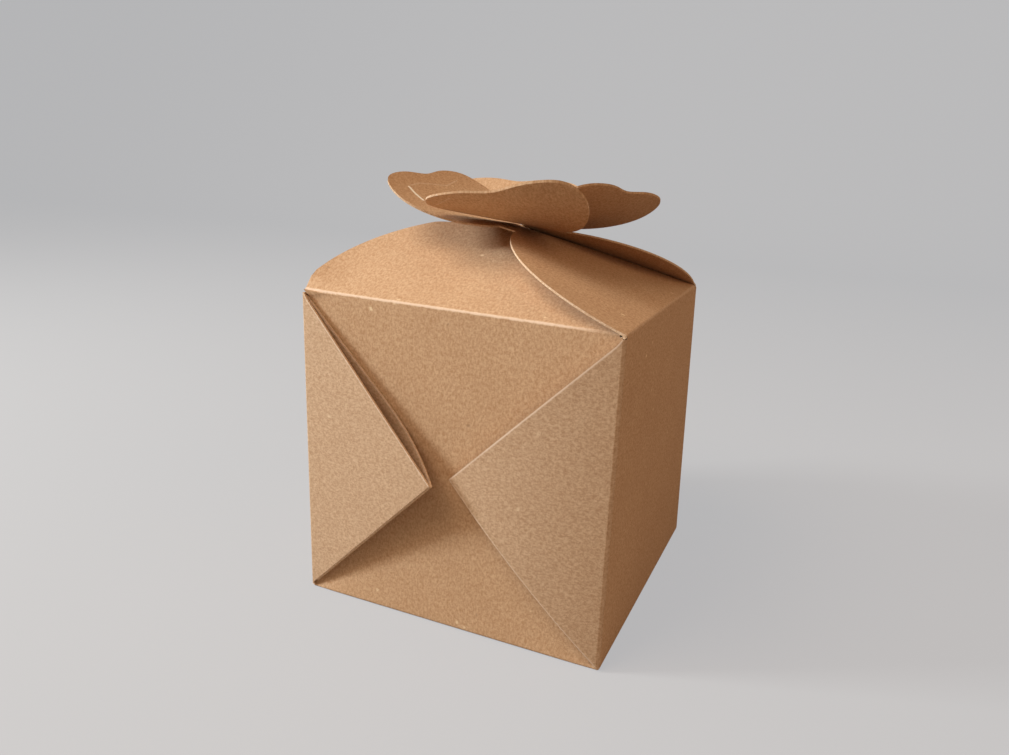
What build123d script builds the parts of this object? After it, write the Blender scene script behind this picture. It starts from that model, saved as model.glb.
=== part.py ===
from build123d import *
import os
from math import atan2, cos, degrees, hypot, radians, sin, sqrt, tan

# A petal-top gift box, cut and folded from one sheet of card.
# X runs to the right along the front wall, Y to the back, Z up.
# The origin is the middle of the floor's underside.
# Each wall is drawn as the front wall and then turned to its side of the box.
# Left and right of a wall or flap are as seen from outside.

# Sheet
card = 0.45                # thickness of the card
crease_radius = 0.4        # inner radius of a crease between two panels
layer_gap = 0.25           # air between two layers folded flat on each other

# Box
box_side = 80.0            # width over the side walls, and depth over the webs
wall_height = 80.0         # floor to roof crease
roof_rise = 16.0           # roof crease up to the necks at the centre

# Corner webs
cut_drop = 0.4             # how far below the wall's top the web's cut edge starts
tip_gap = 0.8              # air between the tips of the two webs on one wall
spring_angle = 9.0         # how far the sprung web stands off the front wall, in degrees
spring_fold_radius = 0.5   # rounded back of the sprung web's open fold
lie_share = 0.55           # part of the sprung inner layer that still lies on the wall
lift_shares = ((0.5, 0.0), (0.8, 0.55))  # how the rest curves out: along it, of its rise
root_share = 0.05          # where the sprung layer starts, of its length

# Roof flaps
bulge_radius = 37.2        # curved free side of a flap, which laps over its neighbour
hip_clearance = 1.2        # distance of a flap's tucked side from the hip
neck_width = 8.0           # strip that joins a flap to its petal
neck_offset = 1.3          # distance of the neck's right edge from the centre
neck_run = 2.0             # length of the neck on either side of the centre

# Petals
petal_width = 39.2         # across the two side lobes
petal_length = 31.9        # from the centre of the roof to the rim, along the card
petal_shares = (           # half the rim: across of the half width, along of the length
    (0.54, 0.19), (0.89, 0.46), (1.0, 0.735), (0.87, 0.93), (0.59, 1.0), (0.285, 1.0), (0.0, 0.972),
)
petal_stands = {           # turn seen from above, rise and lean in degrees, and radius and turn of the curl
    "front": (15.2, 3.6, -5.0, 49.0, 8.7),
    "right": (-8.6, 9.8, -2.5, 62.0, 4.4),
    "back": (-2.6, 7.5, -5.8, 42.0, 31.7),
    "left": (-18.4, 7.2, -10.5, 60.0, 7.2),
}

overrun = 1.0              # how far a trimming solid passes what it trims

# Places of the folded layers
half_side = box_side / 2
bend_radius = crease_radius + card
fold_inner = layer_gap / 2
fold_outer = fold_inner + card
web_fold_depth = half_side - card - fold_inner
inner_layer_depth = web_fold_depth - fold_outer + card / 2
wall_fold_depth = web_fold_depth - card - layer_gap
front_face = wall_fold_depth - fold_inner
side_bend = half_side - bend_radius
front_bend = half_side - card - layer_gap - fold_outer
flap_reach = half_side - card

# Web outline: a square corner of the sheet, folded on its diagonal and cut across
web_reach = half_side - tip_gap / 2
cut_height = wall_height - cut_drop
cut_slope = (cut_height - web_reach) / web_reach
diagonal = sqrt(2)


def cut_line(x):
    """Height of a web's cut edge over a place x along the wall."""
    return web_reach + cut_slope * (x - half_side + web_reach)


def ring_section(inner, outer, start, sweep):
    """Section of a bent stretch of card, about the origin."""
    turns = [radians(start + sweep * step / 2) for step in range(3)]
    inside = [(inner * cos(turn), inner * sin(turn)) for turn in turns]
    outside = [(outer * cos(turn), outer * sin(turn)) for turn in turns]
    return make_face([
        ThreePointArc(*inside),
        Line(inside[-1], outside[-1]),
        ThreePointArc(*outside),
        Line(outside[0], inside[0]),
    ])


def wall_strip(face, half_width, floor_half_width):
    """Half the floor, the front wall and the creases below and above it."""
    pitch = degrees(atan2(roof_rise, face))
    wall_top = wall_height - bend_radius * tan(radians(90 - pitch) / 2)
    bend_y = bend_radius - face
    floor_part = Box(2 * floor_half_width, -bend_y, card, align=(Align.CENTER, Align.MAX, Align.MIN))
    wall = Box(2 * half_width, card, wall_top - bend_radius, align=(Align.CENTER, Align.MIN, Align.MIN))
    end_view = Plane(origin=(-half_width, 0, 0), x_dir=(0, 1, 0), z_dir=(1, 0, 0))
    floor_bend = Pos(bend_y, bend_radius) * ring_section(crease_radius, bend_radius, 180, 90)
    roof_bend = Pos(bend_y, wall_top) * ring_section(crease_radius, bend_radius, 90 + pitch, 90 - pitch)
    strip = floor_part + Pos(0, -face, bend_radius) * wall
    strip += extrude(end_view * floor_bend, 2 * half_width)
    strip += Pos(half_width - flap_reach) * extrude(end_view * roof_bend, half_width + flap_reach)
    return strip


def roof_panel(face, side_face):
    """Sloping panel of a flap, from the roof crease to the start of its neck."""
    pitch = atan2(roof_rise, face)
    start = bend_radius * tan((radians(90) - pitch) / 2)
    slope_length = hypot(face, roof_rise)
    end = slope_length - neck_run
    hip_start = side_face * (1 - start / slope_length)
    neck_left = -neck_offset - neck_width
    slope = Plane(
        origin=(0, -face, wall_height),
        x_dir=(1, 0, 0),
        z_dir=(0, -sin(pitch), cos(pitch)),
    )
    corners = [(-flap_reach, start), (hip_start, start), (-neck_offset, end), (neck_left, end)]
    free_side = RadiusArc(corners[-1], corners[0], -bulge_radius)
    outline = make_face([Polyline(*corners), free_side])
    return extrude(slope * outline, -card)


def hip_trim(face, side_face):
    """Solid beyond the line that a flap's tucked side keeps, over the whole roof."""
    hip = hypot(face, side_face)
    shift = Vector(-face, -side_face) * (hip_clearance / hip)
    along = Vector(side_face, -face) * (1 + overrun / hip)
    beyond = along + Vector(face, side_face)
    plan = Polyline((0, 0), along, beyond, close=True)
    prism = extrude(make_face(plan), roof_rise + bend_radius)
    return Pos(shift.X, shift.Y, wall_height - bend_radius) * prism


def petal(curl_radius, curl_turn):
    """Petal beyond its neck, with its foot at the origin: level at first, then curling up."""
    askew = radians(curl_turn)
    curl_start = neck_run * cos(askew) + neck_width / 2 * sin(abs(askew))
    half_rim = [(petal_width / 2 * across, petal_length * along) for across, along in petal_shares]
    right = [(neck_width / 2, neck_run)] + half_rim
    rim = right + [(-x, y) for x, y in reversed(right[:-1])]

    def rolled(x, y):
        place = Vector(x, y).rotate(Axis.Z, -curl_turn)
        beyond = max(place.Y - curl_start, 0)
        return place.X, place.Y - beyond + curl_radius * sin(beyond / curl_radius)

    outline = [rolled(x, y) for x, y in rim]
    prism = extrude(make_face([Spline(*outline), Line(outline[-1], outline[0])]), petal_length, both=True)
    sweep = degrees((petal_length + overrun) / curl_radius)
    curl = ring_section(curl_radius, curl_radius + card, 270, sweep)
    level = Rectangle(petal_length, card, align=(Align.MAX, Align.MAX))
    section = Pos(curl_start) * (level + Pos(0, curl_radius) * curl)
    side_view = Plane(origin=(-petal_width, 0, 0), x_dir=(0, 1, 0), z_dir=(1, 0, 0))
    return Rot(Z=curl_turn) * (extrude(side_view * section, 2 * petal_width) & prism)


def nearest_face(solid, place):
    """Face of a solid whose middle lies nearest to a place."""
    return min(solid.faces(), key=lambda face: (face.center() - place).length)


def card_side(face, half_width, floor_half_width, side_face, stand):
    """A wall with half the floor, its roof flap and the flap's petal, as the front one."""
    turn, rise, lean, curl_radius, curl_turn = stand
    foot = Pos(-neck_offset - neck_width / 2, 0, wall_height + roof_rise)
    turned = foot * Rot(Z=turn) * Rot(X=rise) * Rot(Y=lean)
    head = turned * petal(curl_radius, curl_turn)
    head_start = nearest_face(head, (turned * Pos(0, neck_run, -card / 2)).position)
    slope = foot * Rot(X=degrees(atan2(roof_rise, face)))
    panel_end = slope * Pos(0, -neck_run, -card / 2) * Rot(X=90) * Rectangle(neck_width, card)
    neck = loft([panel_end.face(), head_start], ruled=True)
    body = wall_strip(face, half_width, floor_half_width) + roof_panel(face, side_face)
    return body - hip_trim(face, side_face) + neck + head


def tight_web():
    """Web of the front right corner: two layers folded flat onto the front wall."""
    leg = diagonal * half_side + overrun
    legs = Pos(fold_outer, 0) * Rectangle(leg, 2 * fold_outer, align=(Align.MIN, Align.CENTER))
    legs -= Pos(fold_outer, 0) * Rectangle(leg, 2 * fold_inner, align=(Align.MIN, Align.CENTER))
    section = legs + Pos(fold_outer, 0) * ring_section(fold_inner, fold_outer, 90, 180)
    fold = Plane(origin=(half_side, -web_fold_depth, 0), x_dir=(1, 0, 1), z_dir=(-1, 0, 1))
    layers = extrude(fold * section, diagonal * web_reach + overrun)
    tip = half_side - web_reach
    beyond = tip - overrun
    cut = [
        (side_bend, -overrun),
        (side_bend, cut_line(side_bend)),
        (beyond, cut_line(beyond)),
    ]
    outline = Plane.XZ * make_face(Polyline(*cut, close=True))
    web = layers & extrude(outline, 2 * half_side, both=True)
    web -= Pos(front_bend, -web_fold_depth, 0) * Box(
        half_side, half_side, wall_height, align=(Align.MIN, Align.MIN, Align.MIN)
    )
    return web + corner_bend(0) + wall_bend(half_side - front_bend)


def corner_bend(spring):
    """Bend between the right wall and the outer layer of the web beside it."""
    section = ring_section(crease_radius, bend_radius, 270 + spring, 90 - spring)
    bend = extrude(section, cut_line(side_bend) - bend_radius)
    return Pos(side_bend, -side_bend, bend_radius) * bend


def wall_bend(start):
    """Bend between the front wall and the inner layer of the web beside it."""
    section = ring_section(fold_inner, fold_outer, 270, 180)
    bend = extrude(section, cut_line(front_bend) - start)
    return Pos(front_bend, -wall_fold_depth, start) * bend


def sprung_web():
    """Web whose outer layer stands off, and whose inner layer curves out to its tip."""
    swing = Pos(side_bend, -side_bend) * Rot(Z=spring_angle) * Pos(-side_bend, side_bend)
    fold_rise = diagonal * spring_fold_radius
    tip_run = fold_rise / (1 + cut_slope)
    tip = half_side - web_reach + tip_run
    plate = [
        (side_bend, half_side - side_bend + fold_rise),
        (side_bend, cut_line(side_bend)),
        (tip, cut_line(tip)),
    ]
    outline = Plane.XZ.offset(half_side - card) * make_face(Polyline(*plate, close=True))
    outer_layer = swing * extrude(outline, card)

    def fold_point(share):
        x = half_side - share * (half_side - tip)
        z = fold_rise + share * (cut_line(tip) - fold_rise)
        return (swing * Pos(x, -web_fold_depth, z)).position

    def inner_section(share):
        start = Vector(front_bend, -inner_layer_depth, share * cut_line(front_bend))
        end = fold_point(share) + Vector(0, fold_inner + card / 2, 0)
        rise = Vector(0, end.Y - start.Y, 0)
        flat = end - rise - start
        lie = start + flat * lie_share
        rest = flat * (1 - lie_share)
        poles = [lie] + [lie + rest * along + rise * lift for along, lift in lift_shares] + [end]
        half = Vector(0, card / 2, 0)
        return make_face([
            Line(start - half, lie - half),
            Bezier(*[pole - half for pole in poles]),
            Line(end - half, end + half),
            Bezier(*[pole + half for pole in reversed(poles)]),
            Line(lie + half, start + half),
            Line(start + half, start - half),
        ])

    inner_layer = loft([inner_section(root_share), inner_section(1)], ruled=True)
    root, point = fold_point(root_share), fold_point(1)
    back = Plane(origin=root, z_dir=point - root)
    fold = extrude(back * Circle(spring_fold_radius), (point - root).length)
    bends = corner_bend(spring_angle) + wall_bend(root_share * cut_line(front_bend))
    return outer_layer + inner_layer + fold + bends


def front_side(stand):
    """The front wall with its flap, which the back one repeats."""
    return card_side(front_face, front_bend, front_bend, half_side, stand)


def right_side(stand):
    """The right wall with its flap, which the left one repeats."""
    return Rot(Z=90) * card_side(half_side, side_bend, front_face - bend_radius, front_face, stand)


def folded_card():
    """The whole box as one folded sheet."""
    sheet = front_side(petal_stands["front"]) + right_side(petal_stands["right"])
    sheet += Rot(Z=180) * front_side(petal_stands["back"]) + Rot(Z=180) * right_side(petal_stands["left"])
    web = tight_web()
    sheet += [web, mirror(web, about=Plane.XZ), Rot(Z=180) * web]
    return sheet + mirror(sprung_web(), about=Plane.YZ)


os.makedirs("parts", exist_ok=True)
export_step(folded_card(), "parts/folded_card.step")
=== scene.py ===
import logging
from dataclasses import dataclass, field
from enum import Enum
from math import cos, radians, sin
from typing import Any, Iterable

import bmesh
import bpy
from mathutils import Matrix, Vector
from mathutils.bvhtree import BVHTree


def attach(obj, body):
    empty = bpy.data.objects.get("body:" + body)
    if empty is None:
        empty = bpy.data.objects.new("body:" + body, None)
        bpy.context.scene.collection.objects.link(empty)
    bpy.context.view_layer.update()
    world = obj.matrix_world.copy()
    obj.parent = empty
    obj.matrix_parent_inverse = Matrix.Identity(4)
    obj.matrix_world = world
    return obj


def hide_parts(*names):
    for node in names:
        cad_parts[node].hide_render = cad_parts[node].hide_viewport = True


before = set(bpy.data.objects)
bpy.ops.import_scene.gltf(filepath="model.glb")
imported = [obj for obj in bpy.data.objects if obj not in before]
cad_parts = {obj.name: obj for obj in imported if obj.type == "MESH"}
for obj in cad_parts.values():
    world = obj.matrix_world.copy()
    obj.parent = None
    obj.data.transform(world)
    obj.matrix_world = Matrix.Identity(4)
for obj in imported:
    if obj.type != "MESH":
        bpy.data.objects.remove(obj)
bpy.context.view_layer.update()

log = logging.getLogger("petal_top_box")

Colour = tuple[float, float, float]
Place = tuple[float, float, float]


def linear(red: int, green: int, blue: int) -> Colour:
    """Turn a colour written in screen values into the values a shader takes.

    Args:
        red: Red, from 0 to 255.
        green: Green, from 0 to 255.
        blue: Blue, from 0 to 255.

    Returns:
        The colour in linear light.
    """
    def one(value: int) -> float:
        """Turn one channel into linear light.

        Args:
            value: The channel, from 0 to 255.

        Returns:
            The channel in linear light.
        """
        share = value / 255
        return share / 12.92 if share <= 0.04045 else ((share + 0.055) / 1.055) ** 2.4

    return one(red), one(green), one(blue)


def clamp(share: float) -> float:
    """Keep a share between none and all.

    Args:
        share: The share as it was worked out.

    Returns:
        The share, from 0 to 1.
    """
    return min(max(share, 0.0), 1.0)


def side_of(value: float) -> int:
    """Tell on which side of the box's middle a place lies.

    Args:
        value: How far the place lies from the middle.

    Returns:
        -1 or 1.
    """
    return -1 if value < 0 else 1


class Maths(Enum):
    """The sums that the finishes are worked out with."""

    PLUS = "ADD"
    MINUS = "SUBTRACT"
    TIMES = "MULTIPLY"
    SIZE = "ABSOLUTE"
    ROOT = "SQRT"
    MOST = "MAXIMUM"


class NodeBench:
    """Adds nodes to one node tree and joins them."""

    def __init__(self, tree: bpy.types.NodeTree) -> None:
        """Take the tree to work on.

        Args:
            tree: A material's or a group's node tree.
        """
        self.tree = tree

    def add(self, kind: str, settings: dict[str, Any] | None = None, **inputs: Any) -> bpy.types.Node:
        """Add a node, set its own settings, and fill or join its inputs.

        Args:
            kind: Name of the node type.
            settings: Properties of the node itself.
            **inputs: Input names, with spaces as underscores, and a value or a socket for each.

        Returns:
            The new node.
        """
        node = self.tree.nodes.new(kind)
        for name, value in (settings or {}).items():
            setattr(node, name, value)
        for name, value in inputs.items():
            self.feed(node.inputs[name.replace("_", " ")], value)
        return node

    def feed(self, socket: bpy.types.NodeSocket, value: Any) -> None:
        """Join a socket to an input, or set the input's value.

        Args:
            socket: The input.
            value: A value or a socket.
        """
        if isinstance(value, bpy.types.NodeSocket):
            self.tree.links.new(value, socket)
        else:
            socket.default_value = value

    def sum(self, kind: Maths, first: Any, second: Any = 0.0) -> bpy.types.NodeSocket:
        """Work out one sum of two values.

        Args:
            kind: Which sum.
            first: A value or a socket.
            second: A value or a socket.

        Returns:
            The socket that holds the answer.
        """
        node = self.add("ShaderNodeMath", {"operation": kind.value})
        self.feed(node.inputs[0], first)
        self.feed(node.inputs[1], second)
        return node.outputs[0]

    def vector_sum(self, kind: str, first: Any, second: Any) -> bpy.types.NodeSocket:
        """Work out one sum of two vectors.

        Args:
            kind: Which sum: MULTIPLY, ADD, SUBTRACT, or DOT_PRODUCT or DISTANCE, which give a value.
            first: A vector or a socket.
            second: A vector or a socket.

        Returns:
            The socket that holds the answer.
        """
        node = self.add("ShaderNodeVectorMath", {"operation": kind})
        self.feed(node.inputs[0], first)
        self.feed(node.inputs[1], second)
        return node.outputs["Value" if kind in ("DOT_PRODUCT", "DISTANCE") else "Vector"]

    def scaled(self, vector: bpy.types.NodeSocket, share: Any) -> bpy.types.NodeSocket:
        """Make a vector longer or shorter.

        Args:
            vector: The socket of the vector.
            share: How long it becomes, as a share of its length: a value or a socket.

        Returns:
            The socket that holds the new vector.
        """
        node = self.add("ShaderNodeVectorMath", {"operation": "SCALE"}, Scale=share)
        self.feed(node.inputs[0], vector)
        return node.outputs["Vector"]

    def ramp(
        self, value: Any, low: float, high: float, start: float = 0.0, end: float = 1.0
    ) -> bpy.types.NodeSocket:
        """Ease a value from one range into another.

        Args:
            value: The value or socket to ease.
            low: Where the ramp starts.
            high: Where it ends.
            start: The answer at its start.
            end: The answer at its end.

        Returns:
            The socket that holds the answer.
        """
        settings = {"interpolation_type": "SMOOTHSTEP"}
        node = self.add("ShaderNodeMapRange", settings, From_Min=low, From_Max=high, To_Min=start, To_Max=end)
        self.feed(node.inputs["Value"], value)
        return node.outputs["Result"]

    def blend(self, share: Any, first: Any, second: Any) -> bpy.types.NodeSocket:
        """Blend two colours by a share.

        Args:
            share: How much of the second colour, a value or a socket.
            first: A colour or a socket.
            second: A colour or a socket.

        Returns:
            The socket that holds the blended colour.
        """
        node = self.add("ShaderNodeMix", {"data_type": "RGBA"})
        self.feed(node.inputs["Factor"], share)
        for socket, colour in zip(node.inputs[6:8], (first, second)):
            self.feed(socket, colour if isinstance(colour, bpy.types.NodeSocket) else (*colour, 1.0))
        return node.outputs[2]

    def place(self, group: bpy.types.NodeTree, **inputs: Any) -> bpy.types.Node:
        """Place a node group in this tree.

        Args:
            group: The group.
            **inputs: Its inputs, as for a node.

        Returns:
            The group's node.
        """
        return self.add("ShaderNodeGroup", {"node_tree": group}, **inputs)

    def put_out(self, surface: bpy.types.NodeSocket, kind: str = "ShaderNodeOutputMaterial") -> None:
        """End the tree with its finished surface.

        Args:
            surface: The socket of the surface.
            kind: Name of the output's node type.
        """
        self.feed(self.add(kind).inputs["Surface"], surface)


def fresh_bench(holder: bpy.types.Material | bpy.types.World) -> NodeBench:
    """Clear the nodes of a material or of the room.

    Args:
        holder: The material or the room.

    Returns:
        A bench on its empty tree.
    """
    holder.use_nodes = True
    holder.node_tree.nodes.clear()
    return NodeBench(holder.node_tree)


class EffectGroup:
    """A node group with named inputs and outputs, which several finishes place."""

    def __init__(self, name: str, inputs: dict[str, float | None], outputs: Iterable[str]) -> None:
        """Make the empty group.

        Args:
            name: Name of the group.
            inputs: Input names with their usual values, or None for a vector.
            outputs: Names of the values that it puts out.
        """
        self.tree = bpy.data.node_groups.new(name, "ShaderNodeTree")
        for label, value in inputs.items():
            kind = "NodeSocketVector" if value is None else "NodeSocketFloat"
            socket = self.tree.interface.new_socket(name=label, in_out="INPUT", socket_type=kind)
            if value is not None:
                socket.default_value = value
        for label in outputs:
            self.tree.interface.new_socket(name=label, in_out="OUTPUT", socket_type="NodeSocketFloat")
        self.bench = NodeBench(self.tree)
        self.given = self.tree.nodes.new("NodeGroupInput").outputs
        self.result = self.tree.nodes.new("NodeGroupOutput").inputs


def fibre_effect() -> bpy.types.NodeTree:
    """Pulp of unbleached card: short fibres that lie mostly along the grain, and soft clouds.

    Returns:
        The group, whose outputs are the tone, the cloudiness and the height of the fibres.
    """
    inputs = {"Sheet": None, "Fibre": 1500.0, "Cloud": 90.0}
    group = EffectGroup("paper_fibres", inputs, ("Tone", "Cloudiness", "Height"))
    bench, given = group.bench, group.given
    along_grain, across_grain = (1.0, 0.55, 1.0), (0.85, 1.0, 1.0)
    tone_span, cloud_span, even_share = (0.37, 0.63), (0.3, 0.7), 0.5
    along = bench.vector_sum("MULTIPLY", given["Sheet"], along_grain)
    across = bench.vector_sum("MULTIPLY", given["Sheet"], across_grain)
    noise = "ShaderNodeTexNoise"
    grain = bench.add(noise, Vector=along, Scale=given["Fibre"], Detail=3.0, Roughness=0.62, Distortion=0.6)
    felt = bench.add(noise, Vector=across, Scale=given["Fibre"], Detail=4.0, Roughness=0.66, Distortion=1.2)
    cloud = bench.add(noise, Vector=given["Sheet"], Scale=given["Cloud"], Detail=3.0, Roughness=0.55)
    both = bench.sum(
        Maths.PLUS,
        bench.sum(Maths.TIMES, grain.outputs["Fac"], even_share),
        bench.sum(Maths.TIMES, felt.outputs["Fac"], even_share),
    )
    bench.feed(group.result["Tone"], bench.ramp(both, *tone_span))
    bench.feed(group.result["Cloudiness"], bench.ramp(cloud.outputs["Fac"], *cloud_span))
    bench.feed(group.result["Height"], both)
    return group.tree


def fleck_effect() -> bpy.types.NodeTree:
    """Odd specks in the pulp, each of its own size, a few to a square centimetre.

    Returns:
        The group, whose outputs are the light specks and the dark ones.
    """
    group = EffectGroup("pulp_flecks", {"Sheet": None, "Crowding": 480.0, "Size": 0.38}, ("Light", "Dark"))
    bench, given = group.bench, group.given
    wander_length, rim_span, light_span, dark_span = 0.0009, (0.0, 0.16), (0.86, 0.89), (0.965, 0.975)
    wander = bench.add("ShaderNodeTexNoise", Vector=given["Sheet"], Scale=900.0, Detail=2.0)
    shift = bench.scaled(wander.outputs["Color"], wander_length)
    moved = bench.vector_sum("ADD", given["Sheet"], shift)
    cells = bench.add("ShaderNodeTexVoronoi", Vector=moved, Scale=given["Crowding"])
    parts = bench.add("ShaderNodeSeparateColor", Color=cells.outputs["Color"]).outputs
    reach = bench.sum(Maths.TIMES, given["Size"], parts["Blue"])
    inside = bench.ramp(bench.sum(Maths.MINUS, reach, cells.outputs["Distance"]), *rim_span)
    light = bench.ramp(parts["Red"], *light_span)
    dark = bench.ramp(parts["Green"], *dark_span)
    bench.feed(group.result["Light"], bench.sum(Maths.TIMES, inside, light))
    bench.feed(group.result["Dark"], bench.sum(Maths.TIMES, inside, dark))
    return group.tree


def pale_band_effect() -> bpy.types.NodeTree:
    """A pale band along a crease or a cut edge, with an uneven edge: bruised fibres, and on the webs also a
    painted highlight.

    Returns:
        The group, whose output is how pale the band is there.
    """
    inputs = {"Object": None, "Across": 0.0, "Up": 0.0, "Width": 0.0006}
    group = EffectGroup("bruised_lit_band", inputs, ("Pale share",))
    bench, given = group.bench, group.given
    noise_span, width_span, edge_span = (0.3, 0.7), (0.75, 1.25), (-0.00020, 0.00016)
    squares = bench.sum(
        Maths.PLUS,
        bench.sum(Maths.TIMES, given["Across"], given["Across"]),
        bench.sum(Maths.TIMES, given["Up"], given["Up"]),
    )
    distance = bench.sum(Maths.ROOT, squares)
    ragged = bench.add("ShaderNodeTexNoise", Vector=given["Object"], Scale=850.0, Detail=3.0, Roughness=0.7)
    spread = bench.ramp(ragged.outputs["Fac"], *noise_span, *width_span)
    edge = bench.sum(Maths.TIMES, given["Width"], spread)
    left = bench.sum(Maths.MINUS, edge, distance)
    bench.feed(group.result["Pale share"], bench.ramp(left, *edge_span))
    return group.tree


def lit_crease_effect() -> bpy.types.NodeTree:
    """A straight line from one place to another, along which a highlight is painted.

    Returns:
        The group, whose output is how far a place lies inside the line.
    """
    inputs = {"Place": None, "Start": None, "End": None, "Width": 0.0001}
    group = EffectGroup("lit_crease_line", inputs, ("Mark",))
    bench, given = group.bench, group.given
    soft_edge = 0.00006
    reach = bench.vector_sum("SUBTRACT", given["Place"], given["Start"])
    line = bench.vector_sum("SUBTRACT", given["End"], given["Start"])
    share = bench.add("ShaderNodeMath", {"operation": "DIVIDE", "use_clamp": True})
    bench.feed(share.inputs[0], bench.vector_sum("DOT_PRODUCT", reach, line))
    bench.feed(share.inputs[1], bench.vector_sum("DOT_PRODUCT", line, line))
    foot = bench.scaled(line, share.outputs[0])
    gap = bench.vector_sum("DISTANCE", reach, foot)
    inside = bench.sum(Maths.MINUS, given["Width"], gap)
    bench.feed(group.result["Mark"], bench.ramp(inside, -soft_edge, soft_edge))
    return group.tree


@dataclass(frozen=True)
class LitCrease:
    """A bent crease on a petal, with a painted highlight where it catches the light: its places on the box,
    its half width and how pale it is.
    """

    places: tuple[Place, ...]
    width: float
    strength: float


@dataclass(frozen=True)
class CardFace:
    """Face of the unbleached card, with fibres, flecks and bruised creases, and with painted light: a cool
    sheen on the webs, highlights along their cut edges and folds and along bent creases on the petals, and
    shade where the roof crease fades.
    """

    name: str = "kraft_card_face"
    # Tones of the pulp, and how strongly its clouds and specks show.
    pulp: Colour = linear(198, 155, 114)
    fibre_dark: Colour = linear(165, 119, 79)
    fibre_light: Colour = linear(224, 188, 149)
    speck_light: Colour = linear(240, 212, 168)
    speck_dark: Colour = linear(120, 82, 54)
    fibre: float = 2000.0
    pulp_share: float = 0.5
    cloud_share: float = 0.12
    light_share: float = 0.7
    dark_share: float = 0.4
    # Roughness in the dark and the light of the pulp, its dull shine, and the height of its fibres.
    roughness: tuple[float, float] = (0.88, 0.78)
    shine: float = 0.25
    bump_strength: float = 0.35
    bump_height: float = 0.00012
    worn_height: float = 0.4
    # Roof creases and upright corners: where they lie, how wide their bruising is, and where it fades, with
    # the pale tint that the webs' painted highlight also uses. The fade toward the right side is painted
    # shade, where the right flap's shadow falls.
    bruised_lit_tint: Colour = linear(236, 206, 176)
    front_crease: float = 0.0386
    side_crease: float = 0.040
    roof_start: float = 0.080
    crease_width: float = 0.00036
    corner_width: float = 0.00038
    crease_shade_fade: tuple[float, float, float, float] = (0.026, 0.036, 1.0, 0.1)
    crease_share: float = 0.7
    corner_share: float = 0.2
    # Webs: their outer face, made greyer by a painted cool sheen, the line of their cut edge, and the swing
    # of the sprung one.
    web_face: float = 0.0392
    web_sheen_dark: Colour = linear(175, 142, 111)
    web_sheen_light: Colour = linear(209, 178, 147)
    web_sheen_share: float = 0.45
    web_tip: tuple[float, float] = (0.0004, 0.0396)
    cut_slope: float = 1.0101
    swing_bend: float = 0.03915
    swing_share: float = 0.0125
    diagonal: float = 0.7071
    sharp_step: float = 0.0001
    # Pale lines on a web: how far in from its cut edge and its fold they lie, and how wide they are. They are
    # bruised fibres and also a painted highlight where the cut edge and the fold catch the light, paler on
    # the right web.
    cut_inset: float = 0.0001
    fold_inset: float = 0.0002
    cut_width: float = 0.00027
    fold_width: float = 0.00030
    cut_paleness: tuple[float, float, float, float] = (0.006, 0.016, 0.55, 0.95)
    fold_paleness: float = 0.55
    below_cut: float = 0.0002
    # Painted highlights along bent creases on the left and the front petal.
    crease_highlight_tint: Colour = linear(252, 238, 216)
    lit_creases: tuple[LitCrease, ...] = (
        LitCrease(
            ((-0.02591, -0.01393, 0.10457), (-0.02338, -0.01494, 0.10295), (-0.02113, -0.01538, 0.10170)),
            0.00040,
            1.0,
        ),
        LitCrease(
            (
                (-0.02623, -0.01258, 0.10494), (-0.02611, -0.00823, 0.10534), (-0.02503, -0.00432, 0.10505),
                (-0.02331, 0.00142, 0.10460), (-0.02397, 0.00850, 0.10576),
            ),
            0.00022,
            0.16,
        ),
        LitCrease(
            ((-0.01308, -0.02346, 0.10130), (-0.00938, -0.02661, 0.10248), (-0.00659, -0.02848, 0.10352)),
            0.00016,
            0.16,
        ),
    )

    def make(
        self, fibres: bpy.types.NodeTree, flecks: bpy.types.NodeTree, folds: bpy.types.NodeTree,
        lit_crease_group: bpy.types.NodeTree,
    ) -> bpy.types.Material:
        """Make the finish.

        Args:
            fibres: The group of paper fibres.
            flecks: The group of pulp flecks.
            folds: The group of pale bands along creases and edges.
            lit_crease_group: The group of painted crease highlights.

        Returns:
            The material.
        """
        material = bpy.data.materials.new(self.name)
        bench = fresh_bench(material)
        sheet = bench.add("ShaderNodeUVMap", {"uv_map": "sheet"}).outputs["UV"]
        spot = bench.add("ShaderNodeAttribute", {"attribute_name": "square_place"}).outputs["Vector"]
        pulp = bench.place(fibres, Sheet=sheet, Fibre=self.fibre).outputs
        specks = bench.place(flecks, Sheet=sheet).outputs
        tone = bench.blend(pulp["Tone"], self.fibre_dark, self.fibre_light)
        colour = bench.blend(self.pulp_share, tone, self.pulp)
        web_lines_bruised_lit, on_web = self.web_lines_and_sheen(bench, spot, folds)
        layers = (
            (pulp["Cloudiness"], self.cloud_share, self.fibre_dark),
            (specks["Light"], self.light_share, self.speck_light),
            (specks["Dark"], self.dark_share, self.speck_dark),
            # Greyer tone on the webs' outer face: a painted sheen of the cool light, not a change in the
            # card.
            (on_web, self.web_sheen_share, bench.blend(pulp["Tone"], self.web_sheen_dark, self.web_sheen_light)),
        )
        for mask, share, shade in layers:
            colour = bench.blend(bench.sum(Maths.TIMES, mask, share), colour, shade)
        # Pale bands: bruised fibres along creases and corners, a painted highlight along the webs' cut edges
        # and folds, and painted shade where the roof crease fades.
        bruise_plus_highlight = bench.sum(Maths.MOST, self.creases_bruised_and_shaded(bench, spot, folds), web_lines_bruised_lit)
        colour = bench.blend(bruise_plus_highlight, colour, self.bruised_lit_tint)
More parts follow.
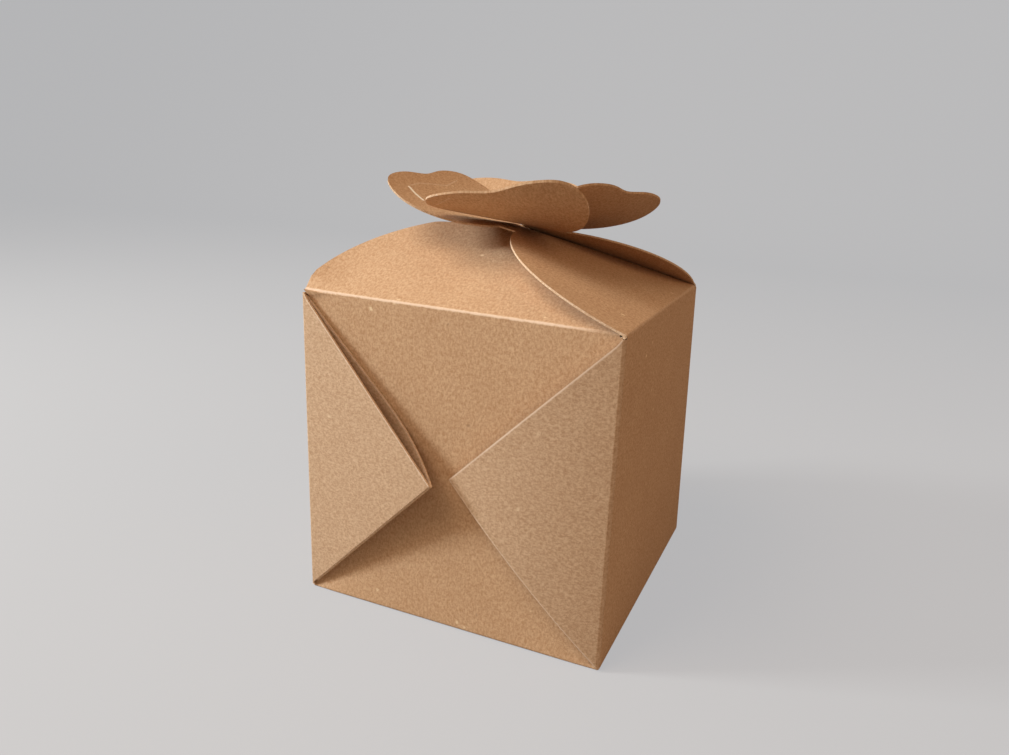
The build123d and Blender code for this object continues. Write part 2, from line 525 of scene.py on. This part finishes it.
        # Pale lines along bent creases on the petals: painted highlight where the creases catch the light.
        colour = bench.blend(self.paint_crease_highlights(bench, spot, lit_crease_group), colour, self.crease_highlight_tint)
        height = bench.sum(Maths.PLUS, pulp["Height"], bench.sum(Maths.TIMES, bruise_plus_highlight, self.worn_height))
        bump = bench.add(
            "ShaderNodeBump", Strength=self.bump_strength, Distance=self.bump_height, Height=height
        )
        rough = bench.ramp(pulp["Tone"], 0.0, 1.0, *self.roughness)
        shader = bench.add(
            "ShaderNodeBsdfPrincipled", Base_Color=colour, Roughness=rough, Normal=bump.outputs["Normal"]
        )
        shader.inputs["Specular IOR Level"].default_value = self.shine
        bench.put_out(shader.outputs["BSDF"])
        return material

    def creases_bruised_and_shaded(
        self, bench: NodeBench, spot: bpy.types.NodeSocket, folds: bpy.types.NodeTree
    ) -> bpy.types.NodeSocket:
        """Mark the roof creases and the upright corners, with the roof creases' bruising faded toward the
        right side, where painted shade stands for the right flap's shadow.

        Args:
            bench: The material's bench.
            spot: The place on the box.
            folds: The group of pale bands along creases and edges.

        Returns:
            The socket that says how bruised the card is, less where the painted shade falls.
        """
        axes = bench.add("ShaderNodeSeparateXYZ", Vector=spot).outputs
        side = bench.sum(Maths.MINUS, bench.sum(Maths.SIZE, axes["X"]), self.side_crease)
        face = bench.sum(Maths.MINUS, bench.sum(Maths.SIZE, axes["Y"]), self.front_crease)
        outer = bench.sum(Maths.MINUS, bench.sum(Maths.SIZE, axes["Y"]), self.side_crease)
        up = bench.sum(Maths.MINUS, axes["Z"], self.roof_start)
        places = (
            (face, up, self.crease_width),
            (side, up, self.corner_width),
            (side, outer, self.corner_width),
        )
        front, sides, corner = (
            bench.place(folds, Object=spot, Across=across, Up=rise, Width=width).outputs["Pale share"]
            for across, rise, width in places
        )
        # Painted shade: the roof crease's paleness fades toward the right side, where the right flap's shadow
        # falls.
        painted_shade_fade = bench.ramp(axes["X"], *self.crease_shade_fade)
        crease = bench.sum(Maths.TIMES, bench.sum(Maths.TIMES, front, painted_shade_fade), self.crease_share)
        others = bench.sum(Maths.TIMES, bench.sum(Maths.MOST, sides, corner), self.corner_share)
        return bench.sum(Maths.MOST, crease, others)

    def web_lines_and_sheen(
        self, bench: NodeBench, spot: bpy.types.NodeSocket, folds: bpy.types.NodeTree
    ) -> tuple[bpy.types.NodeSocket, bpy.types.NodeSocket]:
        """Mark the cut edge above each web and the fold below it, on the web's outer face.

        Args:
            bench: The material's bench.
            spot: The place on the box.
            folds: The group of pale bands along creases and edges.

        Returns:
            The sockets that say how pale the lines are, and whether the place is on a web's outer face below
            its cut line, where the painted sheen goes.
        """
        axes = bench.add("ShaderNodeSeparateXYZ", Vector=spot).outputs
        across = bench.sum(Maths.SIZE, axes["X"])
        step = self.sharp_step
        on_left = bench.ramp(axes["X"], -step, step, self.swing_share, 0.0)
        in_front = bench.ramp(axes["Y"], -step, step, 1.0, 0.0)
        swung = bench.sum(Maths.TIMES, on_left, in_front)
        short = bench.sum(Maths.TIMES, bench.sum(Maths.MINUS, self.swing_bend, across), swung)
        across = bench.sum(Maths.MINUS, across, short)
        tip_across, tip_up = self.web_tip
        rise = bench.sum(Maths.TIMES, bench.sum(Maths.MINUS, across, tip_across), self.cut_slope)
        above = bench.sum(Maths.MINUS, bench.sum(Maths.MINUS, axes["Z"], tip_up), rise)
        below = bench.sum(Maths.MINUS, bench.sum(Maths.PLUS, axes["Z"], across), self.side_crease)
        beside_cut = bench.sum(Maths.PLUS, bench.sum(Maths.TIMES, above, self.diagonal), self.cut_inset)
        beside_fold = bench.sum(Maths.MINUS, bench.sum(Maths.TIMES, below, self.diagonal), self.fold_inset)
        cut = bench.place(folds, Object=spot, Across=beside_cut, Width=self.cut_width)
        fold = bench.place(folds, Object=spot, Across=beside_fold, Width=self.fold_width)
        # Pale lines at the cut edge and the fold: bruised fibres and a painted highlight, paler on the right
        # web.
        marks = bench.sum(
            Maths.MOST,
            bench.sum(Maths.TIMES, cut.outputs["Pale share"], bench.ramp(axes["X"], *self.cut_paleness)),
            bench.sum(Maths.TIMES, fold.outputs["Pale share"], self.fold_paleness),
        )
        outside = bench.ramp(bench.sum(Maths.SIZE, axes["Y"]), self.web_face - step, self.web_face)
        # The painted sheen covers the web's outer face below its cut line.
        under = bench.ramp(above, 0.0, self.below_cut, 1.0, 0.0)
        return bench.sum(Maths.TIMES, marks, outside), bench.sum(Maths.TIMES, outside, under)

    def paint_crease_highlights(
        self, bench: NodeBench, spot: bpy.types.NodeSocket, lit_crease_group: bpy.types.NodeTree
    ) -> bpy.types.NodeSocket:
        """Paint the highlights along the bent creases on the petals.

        Args:
            bench: The material's bench.
            spot: The place on the box.
            lit_crease_group: The group of painted crease highlights.

        Returns:
            The socket that says how much painted highlight lies there.
        """
        total: Any = 0.0
        for highlit in self.lit_creases:
            for start, end in zip(highlit.places, highlit.places[1:]):
                line = bench.place(lit_crease_group, Place=spot, Start=start, End=end, Width=highlit.width)
                mark = bench.sum(Maths.TIMES, line.outputs["Mark"], highlit.strength)
                total = bench.sum(Maths.MOST, total, mark)
        return total


@dataclass(frozen=True)
class CutEdge:
    """Cut edge of the card, paler than its face, with its layers showing."""

    name: str = "kraft_card_cut_edge"
    core: Colour = linear(226, 194, 160)
    shade: Colour = linear(190, 150, 112)
    fibre: float = 2600.0
    bump_strength: float = 0.5
    bump_height: float = 0.0001
    roughness: float = 0.92
    shine: float = 0.2

    def make(self, fibres: bpy.types.NodeTree) -> bpy.types.Material:
        """Make the finish.

        Args:
            fibres: The group of paper fibres.

        Returns:
            The material.
        """
        material = bpy.data.materials.new(self.name)
        bench = fresh_bench(material)
        spot = bench.add("ShaderNodeTexCoord").outputs["Object"]
        pulp = bench.place(fibres, Sheet=spot, Fibre=self.fibre).outputs
        colour = bench.blend(pulp["Tone"], self.shade, self.core)
        bump = bench.add(
            "ShaderNodeBump", Strength=self.bump_strength, Distance=self.bump_height, Height=pulp["Height"]
        )
        shader = bench.add("ShaderNodeBsdfPrincipled", Base_Color=colour, Normal=bump.outputs["Normal"])
        shader.inputs["Roughness"].default_value = self.roughness
        shader.inputs["Specular IOR Level"].default_value = self.shine
        bench.put_out(shader.outputs["BSDF"])
        return material


class Panel(Enum):
    """Panels of the sheet by the way its grain runs on the folded box."""

    WALL = "front or back wall, grain upright"
    WEB = "outer layer of a web, grain level along the wall"
    SIDE = "side wall, grain level to the back"
    FLAT = "floor, roof flaps and petals, grain to the back"


@dataclass(frozen=True)
class HandFold:
    """How far the box, folded by hand, is from square: its lean, foot, webs, corners and lifted flap."""

    # Half the box's side, the walls' height, and the height where the leaning ends.
    half: float = 0.040
    height: float = 0.080
    necks: float = 0.095
    # Shifts of the corners at the floor, then at the roof: front left, front right, back left, back right.
    lean: tuple[tuple[Place, Place, Place, Place], tuple[Place, Place, Place, Place]] = (
        ((-0.00028, 0.0, 0.0), (0.00008, 0.0003, 0.0), (-0.00028, 0.0012, 0.0), (0.00095, 0.0013, 0.0)),
        (
            (-0.00027, -0.00006, 0.0006), (0.00013, -0.00006, -0.00039),
            (-0.0003, -0.0003, -0.0003), (-0.00085, -0.00029, -0.00094),
        ),
    )
    # The swollen foot of the front and back walls.
    wall_face: float = 0.03862
    foot_out: float = 0.00135
    floor_start: float = 0.030
    end_room: float = 0.0014
    # The bow of the front right web.
    web_back: float = 0.0388
    web_bow: float = 0.0020
    web_top: float = 0.0797
    # The ends of the front and back walls, pressed into the corners, and at the top also out and up.
    wall_end: tuple[float, float] = (0.0384, 0.0389)
    wall_depth: tuple[float, float] = (0.0374, 0.0388)
    wall_low: float = 0.0012
    wall_high: float = 0.0785
    corner_reach: float = 0.0395
    wall_press: tuple[float, float] = (0.0011, 0.0006)
    # The corners of the roof flaps, pressed out over the webs.
    flap_end: tuple[float, float] = (0.0394, 0.0397)
    flap_corner: float = 0.0370
    flap_low: float = 0.0790
    flap_out: float = 0.0004
    # The bend at the top of each corner, pressed in and down, and the web's tip beside it, pressed up.
    bend_span: tuple[float, float] = (0.03942, 0.0396)
    bend_room: tuple[float, float] = (0.0794, 0.0797)
    bend_in: tuple[float, float] = (0.0002, 0.0004)
    tip_start: float = 0.0384
    tip_room: tuple[float, float] = (0.0770, 0.0795)
    tip_up: float = 0.0005
    web_skin: float = 0.0002
    # The free left side of the front flap, up to its curved edge, and how far it lifts.
    crease: float = 0.0386
    pitch: float = 0.4145
    skin_room: float = 0.0007
    lift: float = 0.0023
    lift_side: float = 0.0002
    lift_full: float = -0.022
    lift_end: float = -0.0094
    arc_middle: tuple[float, float] = (-0.00244, 0.00298)
    arc_size: tuple[float, float] = (0.0372, 0.03437)

    def lean_at(self, spot: Vector) -> Vector:
        """Find how far a place leans, from the shifts of the box's eight corners.

        Args:
            spot: The place on the square box.

        Returns:
            The shift there.
        """
        across = clamp((spot.x + self.half) / (2 * self.half))
        deep = clamp((spot.y + self.half) / (2 * self.half))
        up = clamp(spot.z / self.height)
        levels = []
        for corners in self.lean:
            front = Vector(corners[0]).lerp(Vector(corners[1]), across)
            back = Vector(corners[2]).lerp(Vector(corners[3]), across)
            levels.append(front.lerp(back, deep))
        fade = 1 - clamp((spot.z - self.height) / (self.necks - self.height))
        return levels[0].lerp(levels[1], up) * fade

    def foot_at(self, spot: Vector) -> float:
        """Find how far the foot of the front or back wall swells out under the webs.

        Args:
            spot: The place on the square box.

        Returns:
            The distance outwards.
        """
        depth = abs(spot.y)
        room = self.half - abs(spot.x)
        if depth > self.wall_face or depth < self.floor_start:
            return 0.0
        if room < self.end_room and spot.z > self.wall_low:
            return 0.0
        under = 1 - min(spot.z / room, 1.0)
        return self.foot_out * under * (depth - self.floor_start) / (self.wall_face - self.floor_start)

    def bow_at(self, spot: Vector) -> float:
        """Find how far the front right web bows off its wall between corner and tip.

        Args:
            spot: The place on the square box.

        Returns:
            The distance outwards.
        """
        if spot.y > -self.web_back or spot.x < 0 or spot.z > self.web_top:
            return 0.0
        along = clamp((self.half - spot.x) / self.half)
        return self.web_bow * 4 * along * (1 - along)

    def reach_at(self, spot: Vector) -> float:
        """Find how far an end of the front or back wall is pressed into its corner, at foot and top.

        Args:
            spot: The place on the square box.

        Returns:
            The distance along the wall.
        """
        across, depth = abs(spot.x), abs(spot.y)
        (low, high), (inner, outer) = self.wall_end, self.wall_depth
        at_end = low < across < high and inner < depth < outer
        if not at_end or self.wall_low < spot.z < self.wall_high:
            return 0.0
        return self.corner_reach - across

    def corner_at(self, spot: Vector) -> Vector:
        """Find how far a corner's top is pressed home: the flap's corner, its bend, and the web's tip.

        Args:
            spot: The place on the square box.

        Returns:
            The shift there.
        """
        shift = Vector((0, 0, 0))
        low, high = self.flap_end
        if self.flap_low < spot.z < self.necks:
            for axis, other in ((0, 1), (1, 0)):
                near = (abs(spot[other]) - self.flap_corner) / (self.half - self.flap_corner)
                if low < abs(spot[axis]) < high and near > 0:
                    shift[axis] = self.flap_out * min(2 * near, 1.0) * side_of(spot[axis])
        at_bend = self.bend_span[0] < abs(spot.x) < self.bend_span[1] and abs(spot.y) > self.bend_span[0]
        if at_bend and self.bend_room[0] < spot.z < self.bend_room[1]:
            shift.x = -self.bend_in[0] * side_of(spot.x)
            shift.z = -self.bend_in[1]
        on_web = abs(spot.y) > low - self.web_skin and self.tip_room[0] < spot.z < self.tip_room[1]
        if on_web and abs(spot.x) > self.tip_start:
            shift.z = self.tip_up * min((abs(spot.x) - self.tip_start) / (low - self.tip_start), 1.0)
        return shift

    def lift_at(self, spot: Vector) -> Vector:
        """Find how far the free left side of the front flap stands up off the flap it laps.

        Args:
            spot: The place on the square box.

        Returns:
            The shift there.
        """
        inward = spot.y + self.crease
        above = spot.z - self.height - inward * self.pitch
        if spot.x > self.lift_end or spot.y > 0 or inward < 0 or abs(above) > self.skin_room:
            return Vector((0, 0, 0))
        across = (spot.x - self.arc_middle[0]) / self.arc_size[0]
        free_side = self.arc_middle[1] + self.arc_size[1] * max(1 - across * across, 0.0) ** 0.5
        near = min(inward / free_side, 1.0)
        fade = min((self.lift_end - spot.x) / (self.lift_end - self.lift_full), 1.0)
        return Vector((-self.lift_side * near * fade, 0, self.lift * near * fade))

    def settle(self, skin: bmesh.types.BMesh) -> None:
        """Move the skin from the square box to the one folded by hand.

        Args:
            skin: The skin to move.
        """
        for vert in skin.verts:
            spot = vert.co.copy()
            reach = self.reach_at(spot)
            out, up = self.wall_press if reach and spot.z > self.wall_high else (0.0, 0.0)
            vert.co = spot + self.lean_at(spot) + self.corner_at(spot) + self.lift_at(spot)
            vert.co.x += reach * side_of(spot.x)
            vert.co.y += side_of(spot.y) * (self.foot_at(spot) + out) - self.bow_at(spot)
            vert.co.z += up


@dataclass
class FoldedCard:
    """The whole box as one folded sheet, taken from its solid."""

    node: str = "folded_card"
    cell: float = 0.005
    thickness: float = 0.00045
    merge: float = 0.000002
    on_plane: float = 1e-7
    # Where the outer layer of a web starts, and where the roof does.
    web_plane: float = 0.03925
    roof_plane: float = 0.0802
    # Angles of a crisp edge, of faces that lie flat together, and of an arris, with how far it is eased.
    sharp: float = radians(38)
    flat: float = radians(0.4)
    square: float = radians(60)
    arris: float = 0.00011
    # A cut edge is where the card is this many thicknesses deep, felt from just under its skin.
    cut_depth: float = 2.2
    under_skin: float = 1e-6
    large_faces_first: int = 80
    fold: HandFold = field(default_factory=HandFold)

    def build(self) -> bpy.types.Object:
        """Copy the solid's skin, close it, cut it into fine cells, and fold it as the hand did.

        Returns:
            The new piece.
        """
        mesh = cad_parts[self.node].data.copy()
        mesh.materials.clear()
        skin = bmesh.new()
        skin.from_mesh(mesh)
        bmesh.ops.remove_doubles(skin, verts=skin.verts, dist=self.merge)
        self.find_cut_edges(skin)
        bmesh.ops.dissolve_limit(
            skin, angle_limit=self.flat, verts=skin.verts, edges=skin.edges, delimit={"MATERIAL"}
        )
        self.ease_cut_edges(skin)
        self.cut_into_cells(skin)
        self.lay_out_sheet(skin)
        self.note_places(skin)
        self.fold.settle(skin)
        for edge in skin.edges:
            edge.smooth = len(edge.link_faces) == 2 and edge.calc_face_angle(0.0) < self.sharp
        for face in skin.faces:
            face.smooth = True
        skin.to_mesh(mesh)
        skin.free()
        piece = bpy.data.objects.new("folded_card_sheet", mesh)
        bpy.context.scene.collection.objects.link(piece)
        even = piece.modifiers.new("even_shading", "WEIGHTED_NORMAL")
        even.keep_sharp = True
        even.weight = self.large_faces_first
        log.info("%s: %d faces", piece.name, len(mesh.polygons))
        return piece

    def cut_into_cells(self, skin: bmesh.types.BMesh) -> None:
        """Cut the skin by level planes along each axis.

        Args:
            skin: The skin to cut.
        """
        spots = [vert.co for vert in skin.verts]
        for axis in range(3):
            low = min(spot[axis] for spot in spots)
            high = max(spot[axis] for spot in spots)
            steps = int((high - low) / self.cell)
            for step in range(1, steps):
                place = Vector((0, 0, 0))
                place[axis] = low + (high - low) * step / steps
                normal = Vector((0, 0, 0))
                normal[axis] = 1
                everything = skin.verts[:] + skin.edges[:] + skin.faces[:]
                bmesh.ops.bisect_plane(
                    skin, geom=everything, dist=self.on_plane, plane_co=place, plane_no=normal
                )
        bmesh.ops.triangulate(skin, faces=skin.faces)

    def find_cut_edges(self, skin: bmesh.types.BMesh) -> None:
        """Give the cut edges the second finish: there the card is deeper than it is thick.

        Args:
            skin: The skin to mark.
        """
        tree = BVHTree.FromBMesh(skin)
        for face in skin.faces:
            middle = face.calc_center_median()
            inward = -face.normal
            found = tree.ray_cast(middle + inward * self.under_skin, inward)
            if found[0] is not None and found[3] > self.cut_depth * self.thickness:
                face.material_index = 1

    def ease_cut_edges(self, skin: bmesh.types.BMesh) -> None:
        """Ease the arrises of the cut edges, where the paler core starts to show.

        Args:
            skin: The skin to ease.
        """
        arrises = [
            edge for edge in skin.edges
            if len(edge.link_faces) == 2
            and edge.link_faces[0].material_index != edge.link_faces[1].material_index
            and edge.calc_face_angle(0.0) > self.square
        ]
        bmesh.ops.bevel(
            skin, geom=arrises, offset=self.arris, offset_type="OFFSET", affect="EDGES", segments=1,
            profile=0.5, material=1, clamp_overlap=True,
        )

    def panel_of(self, face: bmesh.types.BMFace) -> Panel:
        """Say which kind of panel a face belongs to.

        Args:
            face: A face of the skin.

        Returns:
            The panel.
        """
        x, y, z = (abs(value) for value in face.normal)
        if z > max(x, y) or face.calc_center_median().z > self.roof_plane:
            return Panel.FLAT
        if x > y:
            return Panel.SIDE
        if abs(face.calc_center_median().y) > self.web_plane:
            return Panel.WEB
        return Panel.WALL

    def lay_out_sheet(self, skin: bmesh.types.BMesh) -> None:
        """Write each place on the card as a place on the flat sheet, in metres, grain along V.

        Args:
            skin: The skin to lay out.
        """
        layer = skin.loops.layers.uv.new("sheet")
        axes = {Panel.WALL: (0, 2), Panel.WEB: (2, 0), Panel.SIDE: (2, 1), Panel.FLAT: (0, 1)}
        shifts = {Panel.WALL: 0.0, Panel.WEB: 0.21, Panel.SIDE: 0.43, Panel.FLAT: 0.67}
        for face in skin.faces:
            panel = self.panel_of(face)
            across, along = axes[panel]
            for loop in face.loops:
                spot = loop.vert.co
                loop[layer].uv = (spot[across] + shifts[panel], spot[along])

    def note_places(self, skin: bmesh.types.BMesh) -> None:
        """Write where each place lies on the square box, for the wear to follow it.

        Args:
            skin: The skin to write on.
        """
        layer = skin.verts.layers.float_vector.new("square_place")
        for vert in skin.verts:
            vert[layer] = vert.co

    def dress(
        self, piece: bpy.types.Object, card_face: bpy.types.Material, cut_edge: bpy.types.Material
    ) -> None:
        """Give the piece its finishes and its place in the frame.

        Args:
            piece: The folded sheet.
            card_face: Finish of the card's faces.
            cut_edge: Finish of its cut edges.
        """
        piece.data.materials.append(card_face)
        piece.data.materials.append(cut_edge)
        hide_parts(self.node)
        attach(piece, "root")


@dataclass(frozen=True)
class SoftLamp:
    """A broad soft lamp that is aimed at the middle of the box."""

    name: str
    place: Place
    size: float
    power: float
    colour: Colour
    aim: Place = (0.0, 0.0, 0.05)

    def hang(self) -> bpy.types.Object:
        """Hang the lamp.

        Returns:
            The lamp.
        """
        lamp = bpy.data.lights.new(self.name, "AREA")
        lamp.shape = "SQUARE"
        lamp.size = self.size
        lamp.energy = self.power
        lamp.color = self.colour
        holder = bpy.data.objects.new(self.name, lamp)
        bpy.context.scene.collection.objects.link(holder)
        holder.location = self.place
        holder.rotation_euler = (Vector(self.place) - Vector(self.aim)).to_track_quat("Z", "Y").to_euler()
        return holder


@dataclass
class Studio:
    """Pale sweep, soft lamps and the camera."""

    # The camera, with its offset in sides of the box: to the right, up, and away.
    unit: float = 0.080
    azimuth: float = radians(23.36)
    elevation: float = radians(16.41)
    roll: float = radians(2.32)
    focal_pixels: float = 782.3
    picture_width: int = 1009
    sensor: float = 36.0
    offset: tuple[float, float, float] = (0.01431, -0.65432, 2.87792)
    nearest: float = 0.01
    # The sweep: floor, round knee and backdrop.
    sweep_half_width: float = 2.2
    sweep_front: float = -1.8
    sweep_back: float = 0.7
    sweep_radius: float = 0.5
    sweep_height: float = 2.0
    sweep_steps: int = 24
    # Paint and light.
    sweep_colour: Colour = linear(160, 150, 140)
    glow_colour: Colour = linear(226, 229, 233)
    glow_share: float = 0.56
    sky: float = 0.27
    sky_colour: Colour = (1.0, 0.78, 0.60)
    far_colour: Colour = linear(196, 198, 201)
    lamps: tuple[SoftLamp, ...] = (
        SoftLamp("window_left", (-0.57, -0.31, 0.41), 0.13, 5.9, (0.71, 0.86, 1.0)),
        SoftLamp("ceiling_left", (-0.28, -0.36, 0.68), 0.45, 3.4, (1.0, 0.88, 0.76)),
        SoftLamp("room_right", (0.56, -0.04, 0.38), 0.50, 0.8, (1.0, 0.68, 0.44)),
    )

    def camera_axes(self) -> tuple[Vector, Vector, Vector]:
        """Work out the camera's right, up and backward directions.

        Returns:
            The three directions.
        """
        az, el, roll = self.azimuth, self.elevation, self.roll
        back = Vector((sin(az) * cos(el), -cos(az) * cos(el), sin(el)))
        level = Vector((cos(az), sin(az), 0))
        upright = back.cross(level)
        right = level * cos(roll) + upright * sin(roll)
        up = upright * cos(roll) - level * sin(roll)
        return right, up, back

    def set_camera(self) -> bpy.types.Object:
        """Stand the camera where the photograph was taken.

        Returns:
            The camera.
        """
        right, up, back = self.camera_axes()
        across, rise, distance = self.offset
        place = (back * distance - right * across - up * rise) * self.unit
        camera = bpy.data.cameras.new("camera")
        camera.sensor_fit = "HORIZONTAL"
        camera.sensor_width = self.sensor
        camera.lens = self.focal_pixels * self.sensor / self.picture_width
        camera.clip_start = self.nearest
        holder = bpy.data.objects.new("camera", camera)
        bpy.context.scene.collection.objects.link(holder)
        turn = Matrix((right, up, back)).transposed().to_4x4()
        holder.matrix_world = Matrix.Translation(place) @ turn
        bpy.context.scene.camera = holder
        return holder

    def lay_sweep(self) -> bpy.types.Object:
        """Lay the pale floor, which curves up into the backdrop.

        Returns:
            The sweep.
        """
        form = bmesh.new()
        start = form.verts.new((-self.sweep_half_width, self.sweep_front, 0))
        knee = form.verts.new((-self.sweep_half_width, self.sweep_back, 0))
        form.edges.new((start, knee))
        centre = (0, self.sweep_back, self.sweep_radius)
        turned = bmesh.ops.spin(
            form, geom=[knee], cent=centre, axis=(1, 0, 0), angle=radians(90), steps=self.sweep_steps
        )
        top = [item for item in turned["geom_last"] if isinstance(item, bmesh.types.BMVert)]
        drawn = bmesh.ops.extrude_vert_indiv(form, verts=top)
        drawn["verts"][0].co.z = self.sweep_height
        raised = bmesh.ops.extrude_edge_only(form, edges=form.edges[:])
        moved = [item for item in raised["geom"] if isinstance(item, bmesh.types.BMVert)]
        bmesh.ops.translate(form, verts=moved, vec=(2 * self.sweep_half_width, 0, 0))
        bmesh.ops.recalc_face_normals(form, faces=form.faces)
        if sum(face.normal.z for face in form.faces) < 0:
            bmesh.ops.reverse_faces(form, faces=form.faces)
        for face in form.faces:
            face.smooth = True
        mesh = bpy.data.meshes.new("sweep")
        form.to_mesh(mesh)
        form.free()
        sweep = bpy.data.objects.new("sweep", mesh)
        bpy.context.scene.collection.objects.link(sweep)
        mesh.materials.append(self.mix_paint())
        return sweep

    def seen(self, bench: NodeBench) -> bpy.types.NodeSocket:
        """Tell what is seen, directly or in a reflection, from what only lights the box.

        Args:
            bench: The bench of the paint or of the room.

        Returns:
            The socket that is one where the backdrop is seen.
        """
        path = bench.add("ShaderNodeLightPath").outputs
        near = bench.sum(Maths.MOST, path["Is Camera Ray"], path["Is Glossy Ray"])
        return bench.sum(Maths.MOST, near, path["Is Transmission Ray"])

    def mix_paint(self) -> bpy.types.Material:
        """Mix the paint of the sweep: pale to the eye, with the box's shadow on it.

        Returns:
            The material.
        """
        paint = bpy.data.materials.new("pale_sweep")
        bench = fresh_bench(paint)
        matt = bench.add("ShaderNodeBsdfDiffuse", Color=(*self.sweep_colour, 1.0))
        glow = bench.add("ShaderNodeEmission", Color=(*self.glow_colour, 1.0))
        mix = bench.add("ShaderNodeMixShader", Fac=bench.sum(Maths.TIMES, self.seen(bench), self.glow_share))
        bench.feed(mix.inputs[1], matt.outputs["BSDF"])
        bench.feed(mix.inputs[2], glow.outputs["Emission"])
        bench.put_out(mix.outputs["Shader"])
        return paint

    def light(self) -> None:
        """Hang the lamps and set the even light of the room."""
        for lamp in self.lamps:
            lamp.hang()
        world = bpy.data.worlds.new("room")
        bench = fresh_bench(world)
        room = bench.add("ShaderNodeBackground", Color=(*self.sky_colour, 1.0), Strength=self.sky)
        pale = bench.add("ShaderNodeBackground", Color=(*self.far_colour, 1.0), Strength=1.0)
        mix = bench.add("ShaderNodeMixShader", Fac=self.seen(bench))
        bench.feed(mix.inputs[1], room.outputs["Background"])
        bench.feed(mix.inputs[2], pale.outputs["Background"])
        bench.put_out(mix.outputs["Shader"], "ShaderNodeOutputWorld")
        bpy.context.scene.world = world
        bpy.context.scene.view_settings.view_transform = "Standard"


def main() -> None:
    """Build the box and its studio in order."""
    logging.basicConfig(level=logging.INFO, format="%(name)s: %(message)s")
    fibres, flecks, folds, lit_crease_group = fibre_effect(), fleck_effect(), pale_band_effect(), lit_crease_effect()
    card_face = CardFace().make(fibres, flecks, folds, lit_crease_group)
    cut_edge = CutEdge().make(fibres)
    box = FoldedCard()
    sheet = box.build()
    box.dress(sheet, card_face, cut_edge)
    log.info("dressed %s", sheet.name)
    studio = Studio()
    studio.set_camera()
    studio.lay_sweep()
    studio.light()
    log.info("studio set")


if __name__ == "__main__":
    main()
